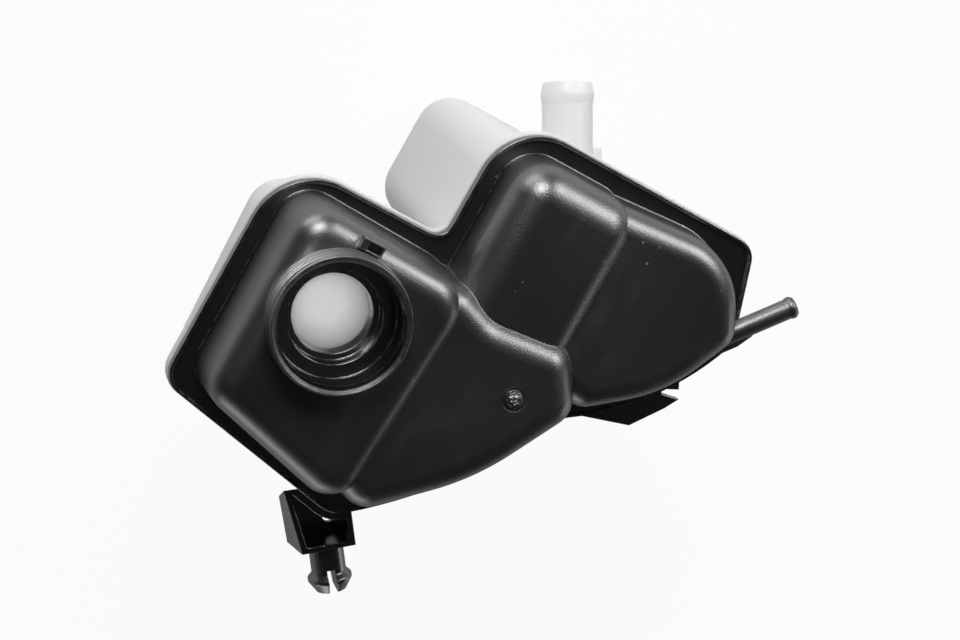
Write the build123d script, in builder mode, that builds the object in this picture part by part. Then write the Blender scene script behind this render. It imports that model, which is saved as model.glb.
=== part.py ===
from build123d import *
import os
from math import cos, radians, sin, tan

# Coolant expansion tank: two injection-moulded half shells welded together at a level flange.
# Millimetres. +Z runs up the filler neck's axis, -X is the filler end, +X the far end, -Y the front and
# +Y the back, with a step in it. The shells are drawn from the weld plane, z = 0, and set down at the end
# with the origin on the neck's axis, at the seat of its seal bore.

# Walls and moulding draft
wall = 2.8
draft_deg = 3.0
sump_draft_deg = 1.0

# Weld flange, measured from the neck's axis
flange_left = 36.6
flange_back = 40.3
step_reach = 32.0
flange_far_back = 94.3
back_right_reach = 143.0
right_end_reach = 155.6
right_end_front = 57.5
waist_reach = 109.6
waist_front = 1.0
front_corner_reach = 46.6
front_corner_front = -73.4
left_front = -55.2
right_bow = 6.3
front_bow = 6.1
flange_thick = 3.0
lip_width = 1.2
lip_height = 1.3
lower_flange_thick = 4.5
lower_flange_proud = 0.6

# Rounded corners of the flange's outline
corner_back_left = 25.0
corner_step = 6.0
corner_back_middle = 24.0
corner_back_right = 9.0
corner_right_end = 8.0
corner_waist = 6.0
corner_front = 13.0
corner_left_front = 10.0

# Bulges of the upper shell: heights above the weld plane, rounded top edges and corners in plan
neck_bulge_top = 39.0
front_bulge_top = 35.0
middle_bulge_top = 30.5
right_bulge_top = 26.5
neck_bulge_round = 10.0
front_bulge_round = 10.0
middle_bulge_round = 13.0
right_bulge_round = 9.0
neck_bulge_corner = 14.0
neck_bulge_back_corner = 17.0
front_bulge_corner = 13.0
front_bulge_valley = 10.0
front_bulge_bow_radius = 100.0
middle_bulge_corner = 15.0
right_bulge_corner = 11.0
right_bulge_back_setback = 20.6
right_bulge_bow_radius = 65.0

# How far a lower bulge runs on under its higher neighbours, so that their hollows join
bulge_overlap = 18.0

# Plan of the bulges' feet, from the flange's edge and corners
land = 6.5
land_behind_neck = 4.8
land_before_neck = 6.6
land_behind_middle = 7.5
land_behind_right = 4.8
neck_bulge_reach = 40.6
neck_bulge_splay = 5.5
neck_bulge_skew = 3.0
neck_bulge_slant_deg = 15.2
front_bulge_start_in = 0.8
front_bulge_start_back = 9.3
front_bulge_end_in = 4.8
front_bulge_end_back = 6.6
front_bulge_bow = 7.8
front_bulge_ridge_in = 20.6
front_bulge_ridge = 10.3
front_bulge_dip = 13.3
front_bulge_dip_in = 25.0
front_bulge_step = 8.5
front_bulge_step_in = 11.0
middle_bulge_width = 53.0
right_bulge_skew = 4.3
right_bulge_back_in = 10.4
right_bulge_end_in = 6.1
right_bulge_end_back = 2.8
right_bulge_bow = 8.9
right_bulge_waist_in = 3.1
right_bulge_waist_back = 6.5
right_bulge_inner_back = 14.5

# Filler neck
neck_radius = 26.0
neck_height = 11.5
mouth_radius = 25.0
mouth_step = 0.8
mouth_ledge = 0.7
seal_bore_radius = 23.0
seal_lead_in = 2.4
seal_bore_depth = 13.5
valve_bore_radius = 17.7
valve_bore_depth = 19.5
filler_bore_radius = 15.2
filler_bore_depth = 27.0

# Cored stop lug behind the neck, for the cap
lug_length = 9.0
lug_width = 4.6
lug_height = 2.2
lug_offset = -1.6
lug_gap = 0.9
lug_root = 7.0
lug_rim = 0.7
lug_solid = 2.6
lug_pocket_depth = 4.0

# Gate vestige on the front bulge
gate_in = 33.2
gate_back = 1.8
gate_dish_radius = 4.7
gate_dish_depth = 0.7
gate_stub_radius = 3.1
gate_stub_height = 1.6

# Vent nipple on the right bulge, with a level gusset beside its root
nipple_root_in = 13.3
nipple_root_front = 6.3
nipple_z = 9.0
nipple_turn_deg = 50.3
nipple_length = 40.0
nipple_radius = 4.0
nipple_bead_radius = 4.4
nipple_bead_length = 3.4
nipple_bead_ramp = 1.2
nipple_tip_radius = 3.6
nipple_bore_radius = 2.4
gusset_thick = 3.0
gusset_reach = 20.0
gusset_shoulder = 13.0
gusset_width = 5.6

# Peg bracket at the front corner: an open box outside the flange, its left wall flaring downwards
bracket_turn_deg = -53.0
bracket_end_right = 6.7
bracket_end_front = 12.6
bracket_end_width = 21.0
bracket_left_reach = 27.0
bracket_left_splay = 3.7
bracket_foot_splay = 0.7
bracket_right_reach = 26.0
bracket_flare = 3.1
bracket_lean = 7.8
bracket_depth = 17.0
bracket_wall = 2.2
bracket_hole_radius = 2.2
bracket_hole_in = 8.0
bracket_hole_across = 3.3
bracket_clearance = 0.4

# Split snap peg on the bracket's end wall
peg_drop = 9.0
peg_radius = 6.75
peg_shank = 11.5
peg_barb_radius = 8.6
peg_barb_ramp = 2.0
peg_barb_land = 1.2
peg_length = 19.0
peg_tip_radius = 6.0
peg_slot = 3.2
peg_slot_depth = 9.5

# Hook plate at the waist, its tapered slot open to the right: (in from the waist, back from the waist)
hook_outline = [
    (2.0, 2.5),
    (25.6, 8.9),
    (34.9, 21.2),
    (38.3, 27.0),
    (31.0, 25.8),
    (29.7, 27.4),
    (36.3, 30.4),
    (34.7, 33.4),
    (27.0, 33.0),
    (12.0, 22.0),
]

# Lower shell: a pan whose floor falls towards the back, and the deep sump under the middle bulge
pan_side_inset = 1.4
pan_back_inset = 8.0
pan_front_inset = 7.5
pan_depth = 52.0
pan_fall_deg = 11.5
pan_corner = 16.0
pan_round = 9.0
sump_left_inset = 1.0
sump_right_inset = 27.0
sump_front_inset = 13.3
sump_back_inset = 7.5
sump_depth = 130.0
sump_corner = 17.0
sump_round = 11.0

# Hose outlet on the sump's back wall, with a small key beside its root
outlet_in = 26.2
outlet_drop = 89.6
outlet_turn_deg = 116.8
outlet_fall_deg = 14.5
outlet_length = 29.6
outlet_radius = 10.5
outlet_bore_radius = 8.2
outlet_bead_radius = 11.1
outlet_bead_length = 9.0
outlet_bead_crest = 5.5
outlet_crest_width = 1.0
outlet_tip_radius = 10.1
outlet_key_width = 3.8
outlet_key_length = 5.0
outlet_key_thick = 3.0
outlet_key_start = -2.0

# Worked out from the sizes above
rim_z = neck_bulge_top + neck_height
seal_seat_z = rim_z - seal_bore_depth
neck_foot_z = rim_z - filler_bore_depth
left_front_point = (-flange_left, left_front)
back_left_point = (-flange_left, flange_back)
step_point = (step_reach, flange_back)
back_middle_point = (step_reach, flange_far_back)
back_right_point = (back_right_reach, flange_far_back)
right_end_point = (right_end_reach, right_end_front)
waist_point = (waist_reach, waist_front)
front_point = (front_corner_reach, front_corner_front)
middle_bulge_left = step_reach + land
middle_bulge_right = middle_bulge_left + middle_bulge_width
front_bulge_back = flange_back - front_bulge_ridge
gate_place = (waist_reach - gate_in, waist_front + gate_back)
sump_left = step_reach + sump_left_inset
sump_right = back_right_reach - sump_right_inset
sump_front = flange_back - sump_front_inset
sump_back = flange_far_back - sump_back_inset
nipple_root = (right_end_reach - nipple_root_in, right_end_front - nipple_root_front, nipple_z)
outlet_root = (sump_right - outlet_in, sump_back, -outlet_drop)
bracket_end = (front_corner_reach + bracket_end_right, front_corner_front - bracket_end_front, flange_thick)


def plan_direction(turn_deg, fall_deg=0.0):
    """Unit vector at an angle in plan from +X, falling below level."""
    level = cos(radians(fall_deg))
    return Vector(level * cos(radians(turn_deg)), level * sin(radians(turn_deg)), -sin(radians(fall_deg)))


def spindle_plane(origin, direction):
    """A plane whose Y axis runs along the direction and whose X axis is level, to the direction's right."""
    side = direction.cross(Vector(0, 0, 1)).normalized()
    return Plane(origin=origin, x_dir=side, z_dir=side.cross(direction))


def turned(plane, profile):
    """Turns a closed profile of (radius, distance along) points about the plane's Y axis."""
    with BuildPart() as shape:
        with BuildSketch(plane):
            with BuildLine():
                Polyline(*profile, close=True)
            make_face()
        revolve(axis=Axis(plane.origin, plane.y_dir))
    return shape.part


def rod(plane, radius, start, end):
    """A plain turned rod, for bores."""
    return turned(plane, [(0, start), (radius, start), (radius, end), (0, end)])


def tank_face(grow):
    """The flange's outline, moved outwards, or inwards where grow is negative."""
    corners = [
        (left_front_point, corner_left_front),
        (back_left_point, corner_back_left),
        (step_point, corner_step),
        (back_middle_point, corner_back_middle),
        (back_right_point, corner_back_right),
        (right_end_point, corner_right_end),
        (front_point, corner_front),
    ]
    with BuildSketch() as face:
        with BuildLine():
            SagittaArc(front_point, waist_point, -front_bow)
            SagittaArc(waist_point, right_end_point, -right_bow)
            Polyline(
                right_end_point,
                back_right_point,
                back_middle_point,
                step_point,
                back_left_point,
                left_front_point,
                front_point,
            )
        make_face()
        for point, radius in corners:
            fillet(face.vertices().sort_by_distance(point)[0], radius)
        if grow:
            offset(amount=grow, mode=Mode.REPLACE)
        if grow >= 0:
            fillet(face.vertices().sort_by_distance(waist_point)[0], corner_waist)
    return face.sketch


def rounded_polygon(corners):
    """A closed outline through the corners, each a point and its rounding radius."""
    with BuildSketch() as face:
        with BuildLine():
            Polyline(*[point for point, radius in corners], close=True)
        make_face()
        for point, radius in corners:
            fillet(face.vertices().sort_by_distance(point)[0], radius)
    return face.sketch


def neck_bulge_face():
    """Foot of the bulge that carries the filler neck; its front edge runs at a slant."""
    left = -flange_left + land
    back = flange_back - land_behind_neck
    front_left = left_front + land_before_neck
    front_right = front_left - (neck_bulge_reach - left) * tan(radians(neck_bulge_slant_deg))
    corners = [
        ((left, front_left), neck_bulge_corner),
        ((neck_bulge_reach, front_right), neck_bulge_corner),
        ((neck_bulge_reach + neck_bulge_splay, back - neck_bulge_skew), neck_bulge_back_corner),
        ((left, back), neck_bulge_corner),
    ]
    return rounded_polygon(corners)


def bowed(first, second, bow):
    """The corner between two others that bows the edge from the first to the second outwards."""
    outwards = (second - first).cross(Vector(0, 0, 1)).normalized()
    return (first + second) * 0.5 + outwards * bow


def front_bulge_face():
    """Foot of the bulge along the bowed front, with a shallow valley behind it."""
    inner = neck_bulge_reach - bulge_overlap
    start = Vector(front_corner_reach + front_bulge_start_in, front_corner_front + front_bulge_start_back)
    end = Vector(waist_reach - front_bulge_end_in, waist_front + front_bulge_end_back)
    corners = [
        (start, front_bulge_corner),
        (bowed(start, end, front_bulge_bow), front_bulge_bow_radius),
        (end, front_bulge_corner),
        (Vector(waist_reach - front_bulge_ridge_in, front_bulge_back), front_bulge_corner),
        (Vector(step_reach + front_bulge_dip_in, flange_back - front_bulge_dip), front_bulge_valley),
        (Vector(step_reach + front_bulge_step_in, flange_back - front_bulge_step), front_bulge_corner),
        (Vector(inner, flange_back - front_bulge_step), front_bulge_corner),
        (Vector(inner, left_front), front_bulge_corner),
    ]
    return rounded_polygon(corners)


def middle_bulge_face():
    """Foot of the bulge behind the step, over the sump."""
    back = flange_far_back - land_behind_middle
    front = front_bulge_back - bulge_overlap
    corners = [
        (middle_bulge_left, front),
        (middle_bulge_right, front),
        (middle_bulge_right, back),
        (middle_bulge_left, back),
    ]
    return rounded_polygon([(corner, middle_bulge_corner) for corner in corners])


def right_bulge_face():
    """Foot of the lowest bulge, bowed along the right and rounded off widely at the far end."""
    inner = middle_bulge_right - bulge_overlap
    back = flange_far_back - land_behind_right
    waist = Vector(waist_reach - right_bulge_waist_in, waist_front + right_bulge_waist_back)
    end = Vector(right_end_reach - right_bulge_end_in, right_end_front + right_bulge_end_back)
    far_back = Vector(back_right_reach - right_bulge_back_in, back)
    inner_back = Vector(inner, back - right_bulge_skew)
    back_half_angle = (end - far_back).get_angle(inner_back - far_back) / 2
    corners = [
        (Vector(inner, waist_front + right_bulge_inner_back), right_bulge_corner),
        (waist, right_bulge_corner),
        (bowed(waist, end, right_bulge_bow), right_bulge_bow_radius),
        (end, right_bulge_corner),
        (far_back, right_bulge_back_setback * tan(radians(back_half_angle))),
        (inner_back, right_bulge_corner),
    ]
    return rounded_polygon(corners)


def pan_face():
    """Top outline of the lower shell's pan."""
    left = -flange_left + pan_side_inset
    back = flange_back - pan_back_inset
    far_back = flange_far_back - pan_back_inset
    corners = [
        (left, left_front + pan_front_inset),
        (front_corner_reach - pan_front_inset, front_corner_front + pan_front_inset),
        (right_end_reach - right_bulge_end_in, right_end_front + right_bulge_end_back),
        (back_right_reach - pan_back_inset, far_back),
        (middle_bulge_left, far_back),
        (middle_bulge_left, back),
        (left, back),
    ]
    return rounded_polygon([(corner, pan_corner) for corner in corners])


def sump_face():
    """Top outline of the lower shell's sump."""
    corners = [(sump_left, sump_front), (sump_right, sump_front), (sump_right, sump_back), (sump_left, sump_back)]
    return rounded_polygon([(corner, sump_corner) for corner in corners])


def bulge(face, inset, top, round_radius, taper_deg, fall_deg=0.0):
    """A drafted bulge up from the weld plane with a rounded top edge; the top may fall away from the far back."""
    with BuildPart() as block:
        with BuildSketch():
            add(face)
            if inset:
                offset(amount=-inset, mode=Mode.REPLACE)
        extrude(amount=top - inset, taper=taper_deg)
        if fall_deg:
            slope = Vector(0, -sin(radians(fall_deg)), cos(radians(fall_deg)))
            split(bisect_by=Plane(origin=(0, flange_far_back, top - inset), z_dir=slope), keep=Keep.BOTTOM)
        fillet(block.faces().sort_by(Axis.Z)[-1].edges(), round_radius - inset)
    return block.part


def upper_bulges(inset):
    """The upper shell's four bulges, each moved inwards by the inset."""
    return [
        bulge(right_bulge_face(), inset, right_bulge_top, right_bulge_round, draft_deg),
        bulge(middle_bulge_face(), inset, middle_bulge_top, middle_bulge_round, draft_deg),
        bulge(front_bulge_face(), inset, front_bulge_top, front_bulge_round, draft_deg),
        bulge(neck_bulge_face(), inset, neck_bulge_top, neck_bulge_round, draft_deg),
    ]


def lower_hollows(inset):
    """The lower shell's pan and sump, drawn upwards and then turned over."""
    blocks = [
        bulge(pan_face(), inset, pan_depth, pan_round, draft_deg, pan_fall_deg),
        bulge(sump_face(), inset, sump_depth, sump_round, sump_draft_deg),
    ]
    return [block.mirror(Plane.XY) for block in blocks]


def neck():
    """The filler neck with its stepped bores, standing through the neck bulge's top."""
    ledge_z = rim_z - mouth_step
    valve_floor_z = rim_z - valve_bore_depth
    profile = [
        (neck_radius, seal_seat_z - wall),
        (neck_radius, rim_z),
        (mouth_radius, rim_z),
        (mouth_radius, ledge_z),
        (mouth_radius - mouth_ledge, ledge_z),
        (seal_bore_radius, ledge_z - seal_lead_in),
        (seal_bore_radius, seal_seat_z),
        (valve_bore_radius, seal_seat_z),
        (valve_bore_radius, valve_floor_z),
        (filler_bore_radius, valve_floor_z),
        (filler_bore_radius, neck_foot_z),
        (filler_bore_radius + wall, neck_foot_z),
        (filler_bore_radius + wall, valve_floor_z - wall),
        (valve_bore_radius + wall, valve_floor_z - wall),
        (valve_bore_radius + wall, seal_seat_z - wall),
    ]
    return turned(Plane.XZ, profile)


def lug():
    """The stop lug behind the neck, with a pocket cored into its right part."""
    back = neck_radius + lug_gap + lug_width
    top_z = neck_bulge_top + lug_height
    with BuildPart() as block:
        with BuildSketch(Plane.XY.offset(top_z - lug_root)):
            with Locations((lug_offset, back - lug_width / 2)):
                Rectangle(lug_length, lug_width)
        extrude(amount=lug_root)
        with BuildSketch(Plane.XY.offset(top_z - lug_pocket_depth)):
            with Locations((lug_offset + (lug_solid - lug_rim) / 2, back - lug_width / 2)):
                Rectangle(lug_length - lug_solid - lug_rim, lug_width - 2 * lug_rim)
        extrude(amount=lug_pocket_depth, mode=Mode.SUBTRACT)
    return block.part


def nipple(plane):
    """The vent nipple's outside with its beaded end, and the gusset along its right side."""
    bead_start = nipple_length - nipple_bead_length
    profile = [
        (0, 0),
        (nipple_radius, 0),
        (nipple_radius, bead_start),
        (nipple_bead_radius, bead_start + nipple_bead_ramp),
        (nipple_bead_radius, nipple_length - nipple_bead_ramp),
        (nipple_tip_radius, nipple_length),
        (0, nipple_length),
    ]
    with BuildPart() as shape:
        add(turned(plane, profile))
        with BuildSketch(plane):
            Polygon(
                (0, 0),
                (gusset_width, 0),
                (gusset_width, gusset_shoulder),
                (nipple_radius, gusset_reach),
                (0, gusset_reach),
                align=None,
            )
        extrude(amount=gusset_thick / 2, both=True)
    return shape.part


def bracket_block(inset, top_z, bottom_z):
    """The peg bracket's outer form, or its hollow where an inset is given, between two levels."""
    half = bracket_end_width / 2 - inset
    with BuildPart() as block:
        for level_z in (top_z, bottom_z):
            down = (flange_thick - level_z) / bracket_depth
            left = -half - bracket_flare * down
            splay = bracket_left_splay + (bracket_foot_splay - bracket_left_splay) * down
            lean = bracket_lean * down
            with BuildSketch(bracket_plane.offset(level_z - flange_thick)):
                Polygon(
                    (half, inset),
                    (half, bracket_right_reach - lean - inset),
                    (left - splay, bracket_left_reach - lean - inset),
                    (left, inset),
                    align=None,
                )
        loft(ruled=True)
    return block.part


def flange_block(grow, height):
    """The flange's outline drawn up or down from the weld plane."""
    with BuildPart() as block:
        with BuildSketch():
            add(tank_face(grow))
        extrude(amount=height)
    return block.part


def bracket():
    """The open box that carries the snap peg, kept clear of the lower shell's flange."""
    floor_z = flange_thick - bracket_depth
    gap = lower_flange_proud + bracket_clearance
    drop = lower_flange_thick + bracket_clearance
    hollow = bracket_block(bracket_wall, flange_thick, floor_z + bracket_wall)
    hollow -= flange_block(gap + bracket_wall, flange_thick)
    hollow -= flange_block(gap + bracket_wall, -drop - bracket_wall)
    with BuildPart() as box:
        add(bracket_block(0, flange_thick, floor_z))
        add(hollow, mode=Mode.SUBTRACT)
        add(flange_block(gap, -drop), mode=Mode.SUBTRACT)
        with BuildSketch(bracket_plane):
            with Locations((bracket_hole_across, bracket_hole_in)):
                Circle(bracket_hole_radius)
        extrude(amount=-bracket_depth, mode=Mode.SUBTRACT)
    return box.part


def peg():
    """The snap peg's shank, barb and tapered tip, split by an upright slot."""
    profile = [
        (0, -bracket_wall),
        (peg_radius, -bracket_wall),
        (peg_radius, peg_shank),
        (peg_barb_radius, peg_shank + peg_barb_ramp),
        (peg_barb_radius, peg_shank + peg_barb_ramp + peg_barb_land),
        (peg_tip_radius, peg_length),
        (0, peg_length),
    ]
    with BuildPart() as shape:
        add(turned(peg_plane, profile))
        with BuildSketch(peg_plane):
            with Locations((0, peg_length - peg_slot_depth / 2)):
                Rectangle(peg_slot, peg_slot_depth)
        extrude(amount=peg_barb_radius, both=True, mode=Mode.SUBTRACT)
    return shape.part


def outlet(plane):
    """The hose outlet's outside, from within the sump to its barbed end, and the key on its right side."""
    crest = outlet_length - outlet_bead_crest
    profile = [
        (0, -outlet_radius),
        (outlet_radius, -outlet_radius),
        (outlet_radius, outlet_length - outlet_bead_length),
        (outlet_bead_radius, crest),
        (outlet_bead_radius, crest + outlet_crest_width),
        (outlet_tip_radius, outlet_length),
        (0, outlet_length),
    ]
    with BuildPart() as shape:
        add(turned(plane, profile))
        with BuildSketch(plane):
            with Locations((outlet_radius, outlet_key_start + outlet_key_length / 2)):
                Rectangle(2 * outlet_key_width, outlet_key_length)
        extrude(amount=outlet_key_thick / 2, both=True)
    return shape.part


nipple_plane = spindle_plane(nipple_root, plan_direction(nipple_turn_deg))
outlet_plane = spindle_plane(outlet_root, plan_direction(outlet_turn_deg, outlet_fall_deg))
bracket_plane = Plane(
    origin=bracket_end,
    x_dir=plan_direction(bracket_turn_deg + 90),
    z_dir=(0, 0, 1),
)
peg_plane = spindle_plane(
    bracket_plane.from_local_coords(Vector(0, 0, -peg_drop)),
    plan_direction(bracket_turn_deg),
)

with BuildPart() as upper_shell:
    add(flange_block(0, flange_thick))
    with BuildSketch(Plane.XY.offset(flange_thick)):
        add(tank_face(0))
        add(tank_face(-lip_width), mode=Mode.SUBTRACT)
    extrude(amount=lip_height)
    with BuildSketch():
        with Locations(waist_point):
            Polygon(*hook_outline, align=None)
    extrude(amount=flange_thick)
    add(bracket())
    add(peg())
    for block in upper_bulges(0):
        add(block)
    add(nipple(nipple_plane))
    add(lug())
    with BuildSketch(Plane.XY.offset(front_bulge_top - gate_dish_depth)):
        with Locations(gate_place):
            Circle(gate_dish_radius)
    extrude(amount=gate_dish_depth, mode=Mode.SUBTRACT)
    with BuildSketch(Plane.XY.offset(front_bulge_top - wall)):
        with Locations(gate_place):
            Circle(gate_stub_radius)
    extrude(amount=wall + gate_stub_height)
    for block in upper_bulges(wall):
        add(block, mode=Mode.SUBTRACT)
    add(rod(nipple_plane, nipple_bore_radius, -wall, nipple_length), mode=Mode.SUBTRACT)
    with BuildSketch(Plane.XY.offset(seal_seat_z - wall)):
        Circle(seal_bore_radius)
    extrude(amount=wall + seal_bore_depth, mode=Mode.SUBTRACT)
    add(neck())

with BuildPart() as lower_shell:
    add(flange_block(lower_flange_proud, -lower_flange_thick))
    for block in lower_hollows(0):
        add(block)
    add(outlet(outlet_plane))
    for block in lower_hollows(wall):
        add(block, mode=Mode.SUBTRACT)
    add(rod(outlet_plane, outlet_bore_radius, -outlet_radius, outlet_length), mode=Mode.SUBTRACT)

os.makedirs("parts", exist_ok=True)
for name, shell in (("upper_shell", upper_shell), ("lower_shell", lower_shell)):
    set_down = shell.part.translate((0, 0, -seal_seat_z), transform=True)
    set_down.label = name
    export_step(set_down, f"parts/{name}.step")
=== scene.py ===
from math import cos, pi, sin

import bmesh
import bpy
from mathutils import Matrix, Vector


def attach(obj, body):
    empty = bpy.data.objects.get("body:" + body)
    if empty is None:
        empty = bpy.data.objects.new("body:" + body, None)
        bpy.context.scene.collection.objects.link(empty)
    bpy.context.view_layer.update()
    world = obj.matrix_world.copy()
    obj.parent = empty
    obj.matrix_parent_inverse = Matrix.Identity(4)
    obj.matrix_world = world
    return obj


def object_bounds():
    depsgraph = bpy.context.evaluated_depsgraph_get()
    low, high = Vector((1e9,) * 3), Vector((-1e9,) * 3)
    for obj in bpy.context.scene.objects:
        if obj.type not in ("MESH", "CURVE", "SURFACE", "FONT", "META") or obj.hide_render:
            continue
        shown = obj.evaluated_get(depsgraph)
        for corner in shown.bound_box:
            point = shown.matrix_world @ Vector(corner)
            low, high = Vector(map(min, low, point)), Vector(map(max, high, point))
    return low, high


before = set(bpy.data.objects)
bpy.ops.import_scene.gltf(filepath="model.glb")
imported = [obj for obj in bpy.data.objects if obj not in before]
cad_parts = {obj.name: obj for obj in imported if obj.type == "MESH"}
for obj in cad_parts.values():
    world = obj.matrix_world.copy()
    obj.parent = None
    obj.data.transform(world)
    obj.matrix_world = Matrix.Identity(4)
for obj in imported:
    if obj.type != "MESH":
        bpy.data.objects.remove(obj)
cad_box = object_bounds()
tank_middle = (cad_box[0] + cad_box[1]) / 2

# Camera: its place and range in metres, the ways that its right side and its top point,
# and its lens and sensor in millimetres
camera_place = (-0.2686, 0.1290, 0.9185)
camera_right = (0.8390, 0.4916, 0.2333)
camera_up = (-0.4368, 0.8641, -0.2501)
camera_lens = 100.0
camera_sensor = 36.0
camera_near = 0.01
camera_far = 50.0

# Filler neck and its thread, in metres; the rim is the highest point of the tank
neck_radius = 0.0260
neck_rim = cad_box[1].z
thread_height = 0.0005
thread_width = 0.0010
thread_crest = 0.0006
thread_pitch = 0.0026
thread_below_rim = 0.0011
thread_turns = 3.6
thread_fade_turns = 0.2
thread_steps_per_turn = 96

# Torn end of the gate stub on the front bulge, in metres and in shares of its radius and rise
gate_place = Vector((0.0764, 0.0028, -0.0004))
gate_radius = 0.0030
gate_rise = 0.0011
gate_rings = 3
gate_middle_rings = 0.6
gate_sides = 11
gate_foot_share = 0.98
gate_wander_share = 0.12
gate_lip_share = 0.1
gate_climb_share = 0.45

# How deep added pieces reach into the shell that carries them
sunk_in = 0.0002

# Black shell: the bulges are textured above the flange's lip, and the bores near the neck's axis are smooth
flange_top = -0.0335
flange_blend = 0.004
bore_reach = 0.0236
bore_blend = 0.0008
grain_depth = 0.00009
smooth_grain_depth = 0.000006
ripple_depth = 0.00003
swell_depth = 0.0035

# Radius to which each finish softens sharp edges
shell_edge_round = 0.0009
trim_edge_round = 0.00015
white_edge_round = 0.0006

# White shell
white_grain_depth = 0.00001
white_scatter_reach = 0.012

# Studio: a floor just under the tank, and the share of its white that each kind of ray sees
floor_reach = 6.0
floor_drop = 0.0005
floor_paint = (0.75, 0.75, 0.75, 1)
camera_white_share = 0.94
mirrored_white_share = 0.06
pure_white = (1, 1, 1, 1)
world_strength = 0.02

# Narrow lamp that reaches down the filler neck to the white floor of the pan
neck_spot_place = (-0.2455, 0.1179, 0.8379)
neck_spot_aim = (0.0, 0.0, -0.02)
neck_spot_cone = 0.0345
neck_spot_blend = 0.08
neck_spot_bulb = 0.01
neck_spot_power = 28.0


class Value:
    """A node's output that takes part in Python expressions."""

    def __init__(self, finish, socket):
        self.finish = finish
        self.socket = socket

    def joined(self, operation, first, second):
        return self.finish.node("ShaderNodeMath", {"operation": operation}, {0: first, 1: second})

    def __add__(self, other):
        return self.joined("ADD", self, other)

    def __sub__(self, other):
        return self.joined("SUBTRACT", self, other)

    def __rsub__(self, other):
        return self.joined("SUBTRACT", other, self)

    def __mul__(self, other):
        return self.joined("MULTIPLY", self, other)

    __radd__ = __add__
    __rmul__ = __mul__


class Finish:
    """A material, built up node by node."""

    def __init__(self, name):
        self.material = bpy.data.materials.new(name)
        self.material.use_nodes = True
        self.tree = self.material.node_tree
        self.tree.nodes.clear()

    def node(self, kind, settings=None, inputs=None, out=0):
        """Adds a node, sets it up, fills its sockets with values or links, and gives one of its outputs."""
        made = self.tree.nodes.new(kind)
        for name, value in (settings or {}).items():
            setattr(made, name, value)
        for key, value in (inputs or {}).items():
            if isinstance(value, Value):
                self.tree.links.new(value.socket, made.inputs[key])
            else:
                made.inputs[key].default_value = value
        return Value(self, made.outputs[out]) if made.outputs else None

    def place(self):
        """Where a point lies on the part, in metres."""
        return self.node("ShaderNodeTexCoord", out="Object")

    def vector(self, operation, first, second=(0.0, 0.0, 0.0), out=0):
        return self.node("ShaderNodeVectorMath", {"operation": operation}, {0: first, 1: second}, out)

    def noise(self, place, scale, detail, stretch=(1.0, 1.0, 1.0)):
        """Noise at so many swells to the metre, drawn out along an axis where stretch is under 1."""
        drawn = self.vector("MULTIPLY", place, stretch)
        inputs = {"Vector": drawn, "Scale": scale, "Detail": detail}
        return self.node("ShaderNodeTexNoise", {}, inputs, "Fac")

    def rising(self, value, low, high):
        """0 below low, 1 above high, smooth between them."""
        bounds = {"Value": value, "From Min": low, "From Max": high}
        return self.node("ShaderNodeMapRange", {"interpolation_type": "SMOOTHSTEP"}, bounds)

    def between(self, share, first, second):
        """A colour between two others."""
        inputs = {"Factor": share, 6: first, 7: second}
        return self.node("ShaderNodeMix", {"data_type": "RGBA"}, inputs, 2)

    def softened(self, radius, samples):
        """The surface's normal, with sharp edges rounded off."""
        return self.node("ShaderNodeBevel", {"samples": samples}, {"Radius": radius})

    def raised(self, height, normal):
        """A normal that also follows a height in metres."""
        inputs = {"Strength": 1.0, "Distance": 1.0, "Height": height, "Normal": normal}
        return self.node("ShaderNodeBump", {}, inputs)

    def surface(self, inputs):
        """Ends the material in one shader."""
        skin = self.node("ShaderNodeBsdfPrincipled", {}, inputs)
        self.node("ShaderNodeOutputMaterial", {}, {"Surface": skin})
        return self.material


def moulded_areas(finish, place):
    """Where the black shell has its texture, and where its bores are smooth."""
    above = finish.node("ShaderNodeSeparateXYZ", {}, {"Vector": place}, "Z")
    level = finish.vector("MULTIPLY", place, (1.0, 1.0, 0.0))
    from_axis = finish.vector("LENGTH", level, out="Value")
    smooth_bore = 1 - finish.rising(from_axis, low=bore_reach, high=bore_reach + bore_blend)
    over_lip = finish.rising(above, low=flange_top, high=flange_top + flange_blend)
    return over_lip * (1 - smooth_bore), smooth_bore


def dust_specks(finish, place):
    """Small round specks, kept only in a few places."""
    dots = finish.node("ShaderNodeTexVoronoi", {}, {"Vector": place, "Scale": 150.0}, "Distance")
    few = finish.rising(finish.noise(place, scale=75.0, detail=0.0), low=0.66, high=0.70)
    return (1 - finish.rising(dots, low=0.05, high=0.09)) * few


def sharp_edges(finish, round_edge):
    """The strips where the softened normal leaves the true one."""
    true_normal = finish.node("ShaderNodeNewGeometry", out="Normal")
    alike = finish.vector("DOT_PRODUCT", round_edge, true_normal, "Value")
    return finish.rising(1 - alike, low=0.02, high=0.25)


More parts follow.
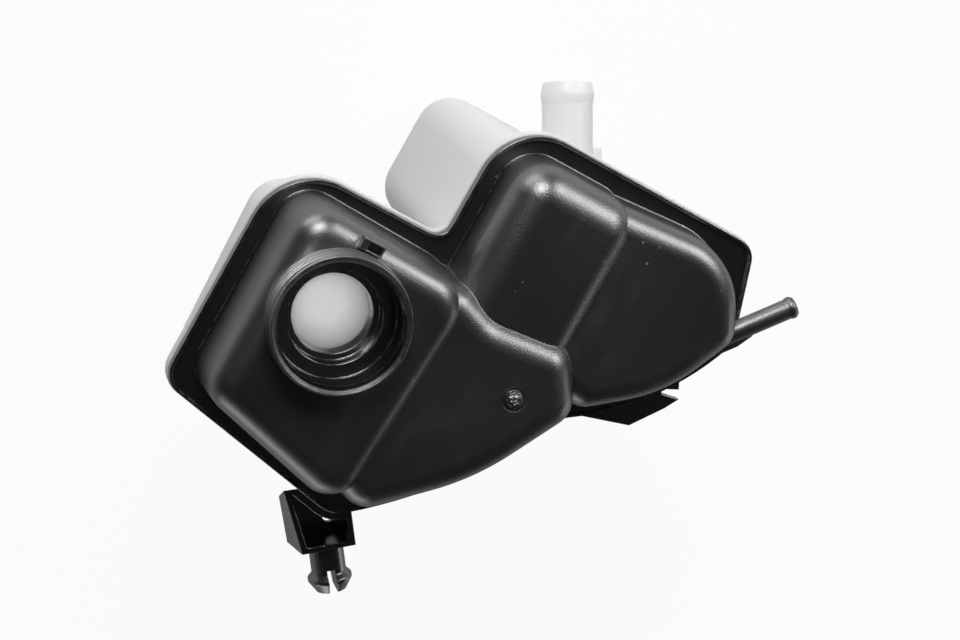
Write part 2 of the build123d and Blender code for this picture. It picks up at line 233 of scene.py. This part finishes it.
def black_polypropylene(name, edge_round):
    """Satin moulded black: softened edges, a fine grain, faint rubbed patches and pale specks of dust."""
    deep_black = (0.003, 0.003, 0.0031, 1)
    rubbed_black = (0.010, 0.010, 0.0102, 1)
    worn_grey = (0.22, 0.22, 0.215, 1)
    dust_grey = (0.42, 0.42, 0.40, 1)
    nick_strength = 0.8
    dust_strength = 0.55
    moulded_roughness = 0.20
    texture_roughness = 0.13
    cloud_roughness = 0.08
    rubbed_roughness = 0.05
    bore_gloss = 0.06
    finish = Finish(name)
    place = finish.place()
    cloud = finish.noise(place, scale=22.0, detail=3.0)
    streaks = finish.noise(place, scale=60.0, detail=5.0, stretch=(1.0, 0.35, 1.0))
    rubbed = finish.rising(streaks, low=0.56, high=0.74)
    grain = finish.noise(place, scale=1500.0, detail=3.0)
    ripple = finish.noise(place, scale=130.0, detail=1.0)
    swell = finish.noise(place, scale=15.0, detail=0.0)
    textured, smooth_bore = moulded_areas(finish, place)
    specks = dust_specks(finish, place)
    round_edge = finish.softened(edge_round, samples=6)
    edge = sharp_edges(finish, round_edge)
    paler = cloud * 0.5 + rubbed * 0.35 + edge * 0.3
    tone = finish.between(paler, deep_black, rubbed_black)
    nicks = finish.rising(finish.noise(place, scale=320.0, detail=3.0), low=0.42, high=0.62) * edge
    worn = finish.between(nicks * nick_strength, tone, worn_grey)
    grain_height = grain * (textured * grain_depth + smooth_grain_depth)
    height = grain_height + ripple * ripple_depth + swell * swell_depth
    roughness = textured * texture_roughness + cloud * cloud_roughness + rubbed * rubbed_roughness
    return finish.surface(
        {
            "Base Color": finish.between(specks * dust_strength, worn, dust_grey),
            "Roughness": roughness + moulded_roughness - smooth_bore * bore_gloss,
            "IOR": 2.6,
            "Normal": finish.raised(height, round_edge),
        }
    )


def white_polypropylene():
    """Natural white, slightly see-through, with a faint flow pattern from the mould."""
    dull_white = (0.76, 0.76, 0.75, 1)
    clear_white = (0.84, 0.84, 0.83, 1)
    moulded_roughness = 0.36
    flow_roughness = 0.1
    finish = Finish("white_polypropylene")
    place = finish.place()
    flow = finish.noise(place, scale=14.0, detail=3.0, stretch=(1.0, 1.0, 0.4))
    grain = finish.noise(place, scale=1100.0, detail=2.0)
    round_edge = finish.softened(white_edge_round, samples=4)
    return finish.surface(
        {
            "Base Color": finish.between(flow, dull_white, clear_white),
            "Roughness": flow * flow_roughness + moulded_roughness,
            "Subsurface Weight": 0.6,
            "Subsurface Radius": (1.0, 1.0, 1.0),
            "Subsurface Scale": white_scatter_reach,
            "Specular IOR Level": 0.4,
            "Normal": finish.raised(grain * white_grain_depth, round_edge),
        }
    )


def studio_white():
    """The floor: white to the camera, but still in shade under the tank."""
    finish = Finish("studio_white")
    seen = finish.node("ShaderNodeLightPath", out="Is Camera Ray")
    mirrored = finish.node("ShaderNodeLightPath", out="Is Glossy Ray")
    seen_through = finish.node("ShaderNodeLightPath", out="Is Transmission Ray")
    paint = finish.node("ShaderNodeBsdfDiffuse", {}, {"Color": floor_paint})
    glow = finish.node("ShaderNodeEmission", {}, {"Color": pure_white, "Strength": 1.0})
    share = seen * camera_white_share + (mirrored + seen_through) * mirrored_white_share
    both = finish.node("ShaderNodeMixShader", {}, {"Fac": share, 1: paint, 2: glow})
    finish.node("ShaderNodeOutputMaterial", {}, {"Surface": both})
    return finish.material


def shown(name, shape, finish):
    """Turns a bmesh into an object of the scene."""
    mesh = bpy.data.meshes.new(name)
    shape.to_mesh(mesh)
    shape.free()
    mesh.materials.append(finish)
    piece = bpy.data.objects.new(name, mesh)
    bpy.context.scene.collection.objects.link(piece)
    return piece


def thread_section(turns, last_turn):
    """Corners of the ridge after so many turns, as radius and height; it fades out at both ends."""
    middle = neck_rim - thread_below_rim - thread_width / 2 - thread_pitch * turns
    fade = min(1.0, turns / thread_fade_turns, (last_turn - turns) / thread_fade_turns)
    root = neck_radius - sunk_in
    crest = neck_radius + thread_height * fade - sunk_in * (1 - fade) / 2
    return (
        (root, middle - thread_width / 2),
        (crest, middle - thread_crest / 2),
        (crest, middle + thread_crest / 2),
        (root, middle + thread_width / 2),
    )


def neck_thread(finish):
    """The fine thread on the neck: one winding ridge that runs out into the wall at both ends."""
    shape = bmesh.new()
    steps = round(thread_turns * thread_steps_per_turn)
    last_turn = steps / thread_steps_per_turn
    sections = []
    for step in range(steps + 1):
        turns = step / thread_steps_per_turn
        angle = 2 * pi * turns
        section = []
        for radius, height in thread_section(turns, last_turn):
            section.append(shape.verts.new((radius * cos(angle), radius * sin(angle), height)))
        sections.append(section)
    for first, second in zip(sections, sections[1:]):
        for corner in range(len(first)):
            after = (corner + 1) % len(first)
            shape.faces.new((first[corner], first[after], second[after], second[corner]))
    shape.faces.new(sections[0][::-1])
    shape.faces.new(sections[-1])
    bmesh.ops.recalc_face_normals(shape, faces=shape.faces)
    return shown("neck_thread", shape, finish)


def torn_share(side, ring):
    """Share of the full rise at a corner of the tear, from two waves that don't repeat round a ring."""
    return 0.5 + 0.3 * sin(5.1 * side + 2.3 * ring) + 0.2 * cos(2.6 * side - 4.7 * ring)


def gate_corner(side, ring):
    """One corner of the tear: the outermost ring is its foot, sunk into the stub."""
    angle = 2 * pi * (side + 0.5 * ring) / gate_sides
    reach = gate_radius * (1 - ring / (gate_rings + gate_middle_rings))
    reach = reach * (1 + gate_wander_share * sin(3.7 * side + 1.9 * ring))
    climb = min(1.0, gate_climb_share * ring + gate_lip_share)
    rise = gate_rise * torn_share(side, ring) * climb
    if ring == 0:
        reach = reach * gate_foot_share
        rise = -sunk_in
    return gate_place + Vector((reach * cos(angle), reach * sin(angle), rise))


def gate_tear(finish):
    """The torn end of the gate: uneven flat facets that rise to a broken ridge off the middle."""
    shape = bmesh.new()
    rings = []
    for ring in range(gate_rings + 1):
        rings.append([shape.verts.new(gate_corner(side, ring)) for side in range(gate_sides)])
    for outer, inner in zip(rings, rings[1:]):
        for side in range(gate_sides):
            after = (side + 1) % gate_sides
            shape.faces.new((outer[side], outer[after], inner[side]))
            shape.faces.new((outer[after], inner[after], inner[side]))
    shape.faces.new(rings[-1])
    shape.faces.new(rings[0][::-1])
    bmesh.ops.triangulate(shape, faces=[face for face in shape.faces if len(face.verts) > 4])
    bmesh.ops.recalc_face_normals(shape, faces=shape.faces)
    return shown("gate_tear", shape, finish)


def hung(lamp, place, aim):
    """Puts a lamp in its place, facing a point."""
    holder = bpy.data.objects.new(lamp.name, lamp)
    holder.location = place
    holder.rotation_mode = "QUATERNION"
    holder.rotation_quaternion = (Vector(aim) - Vector(place)).to_track_quat("-Z", "Y")
    bpy.context.scene.collection.objects.link(holder)


def softbox(name, place, width, height, power):
    """A large soft lamp that faces the tank."""
    lamp = bpy.data.lights.new(name, "AREA")
    lamp.shape = "RECTANGLE"
    lamp.size = width
    lamp.size_y = height
    lamp.energy = power
    hung(lamp, place, tank_middle)


def neck_spot():
    """The narrow lamp that reaches down the filler neck."""
    lamp = bpy.data.lights.new("neck_spot", "SPOT")
    lamp.spot_size = neck_spot_cone
    lamp.spot_blend = neck_spot_blend
    lamp.shadow_soft_size = neck_spot_bulb
    lamp.energy = neck_spot_power
    hung(lamp, neck_spot_place, neck_spot_aim)


def studio_floor():
    """A wide pale floor just under the tank."""
    shape = bmesh.new()
    bmesh.ops.create_grid(shape, x_segments=1, y_segments=1, size=floor_reach)
    floor = shown("floor", shape, studio_white())
    floor.location.z = cad_box[0].z - floor_drop
    return floor


def studio_world():
    """A faint even light from all sides."""
    world = bpy.data.worlds.new("studio")
    world.use_nodes = True
    backdrop = world.node_tree.nodes["Background"]
    backdrop.inputs["Color"].default_value = pure_white
    backdrop.inputs["Strength"].default_value = world_strength
    return world


def photo_camera():
    """The camera at the photograph's viewing angle."""
    camera = bpy.data.cameras.new("camera")
    camera.lens = camera_lens
    camera.sensor_width = camera_sensor
    camera.sensor_fit = "HORIZONTAL"
    camera.clip_start = camera_near
    camera.clip_end = camera_far
    holder = bpy.data.objects.new("camera", camera)
    right = Vector(camera_right).normalized()
    up = Vector(camera_up).normalized()
    turn = Matrix((right, up, right.cross(up))).transposed().to_4x4()
    holder.matrix_world = Matrix.Translation(camera_place) @ turn
    bpy.context.scene.collection.objects.link(holder)
    return holder


# Finishes of the two shells
black = black_polypropylene("black_polypropylene", shell_edge_round)
sharp_black = black_polypropylene("sharp_black_polypropylene", trim_edge_round)
white = white_polypropylene()
for node, finish in (("upper_shell", black), ("lower_shell", white)):
    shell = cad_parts[node]
    shell.data.materials.clear()
    shell.data.materials.append(finish)

# Small pieces on the black shell
for piece in (neck_thread(sharp_black), gate_tear(sharp_black)):
    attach(piece, "root")

# Floor, lamps, world and camera
floor = studio_floor()
softbox("back_softbox", place=(0.477, 0.886, 0.439), width=0.52, height=0.50, power=5.2)
softbox("back_left_softbox", place=(-0.452, 0.670, 0.63), width=0.45, height=0.42, power=6.8)
softbox("low_left_softbox", place=(-0.697, 0.647, -0.01), width=0.70, height=0.28, power=2.4)
softbox("front_softbox", place=(0.10, -0.95, 0.0), width=0.90, height=0.30, power=1.5)
softbox("right_softbox", place=(1.05, 0.09, -0.01), width=0.60, height=0.28, power=0.7)
neck_spot()
scene = bpy.context.scene
scene.world = studio_world()
scene.view_settings.view_transform = "Standard"
scene.camera = photo_camera()
